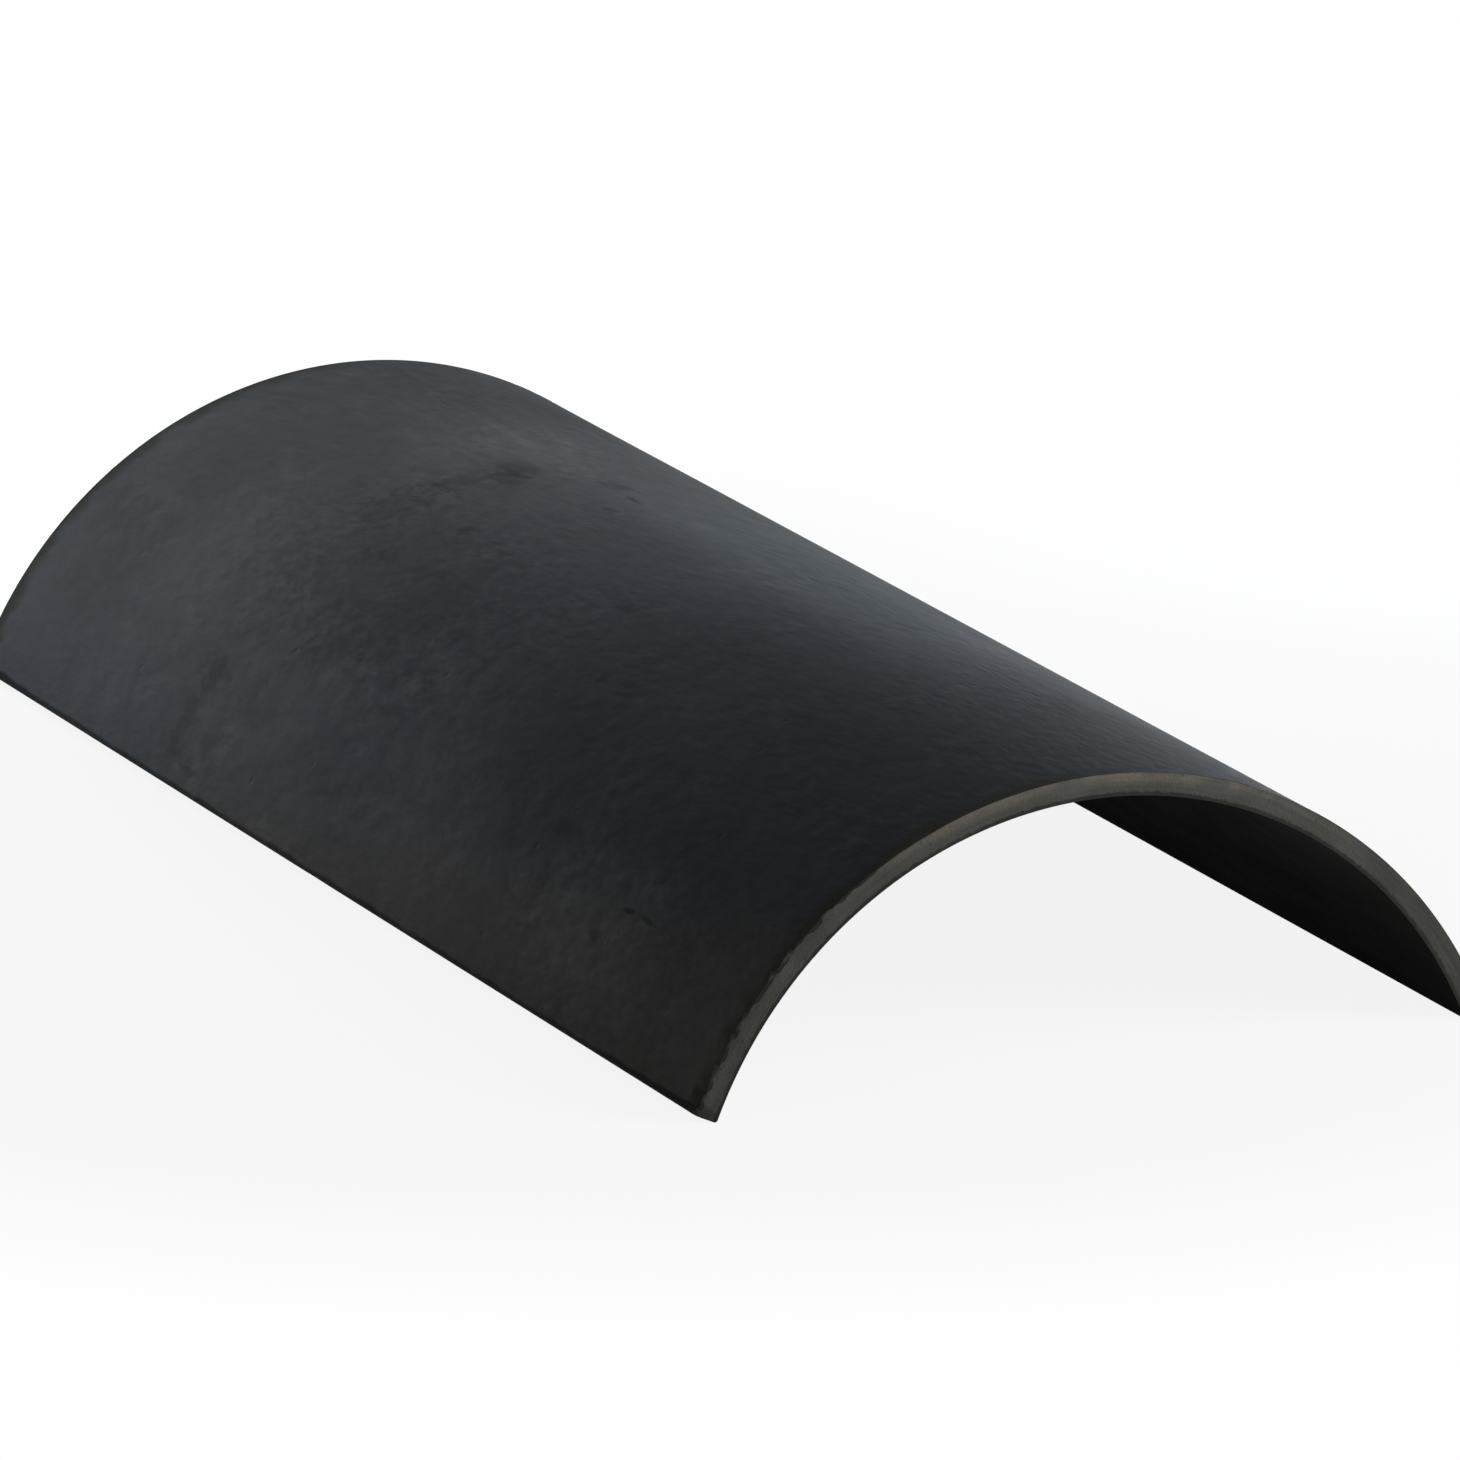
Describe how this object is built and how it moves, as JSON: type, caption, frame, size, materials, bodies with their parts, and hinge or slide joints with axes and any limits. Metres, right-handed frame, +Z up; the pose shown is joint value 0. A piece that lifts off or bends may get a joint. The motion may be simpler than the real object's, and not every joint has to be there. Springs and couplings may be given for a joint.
{
  "type": "fibre cement ridge cap",
  "caption": "Half-round fibre cement ridge cap: a thin curved shell with square-cut ends and edges that covers the ridge of a slated roof.",
  "frame": {"origin": "on the floor under the middle of the cap, where the two lower arrises stand", "axes": "+Y along the ridge line, +X across the cap, +Z up through the crown"},
  "size_m": [0.1894, 0.4, 0.0661],
  "materials": {
    "fibre_cement": "matt anthracite coat on the curved faces and the long edges, bare olive-grey cement on the sawn ends"
  },
  "bodies": {
    "root": {"ridge_cap": "fibre_cement"}
  },
  "joints": []
}
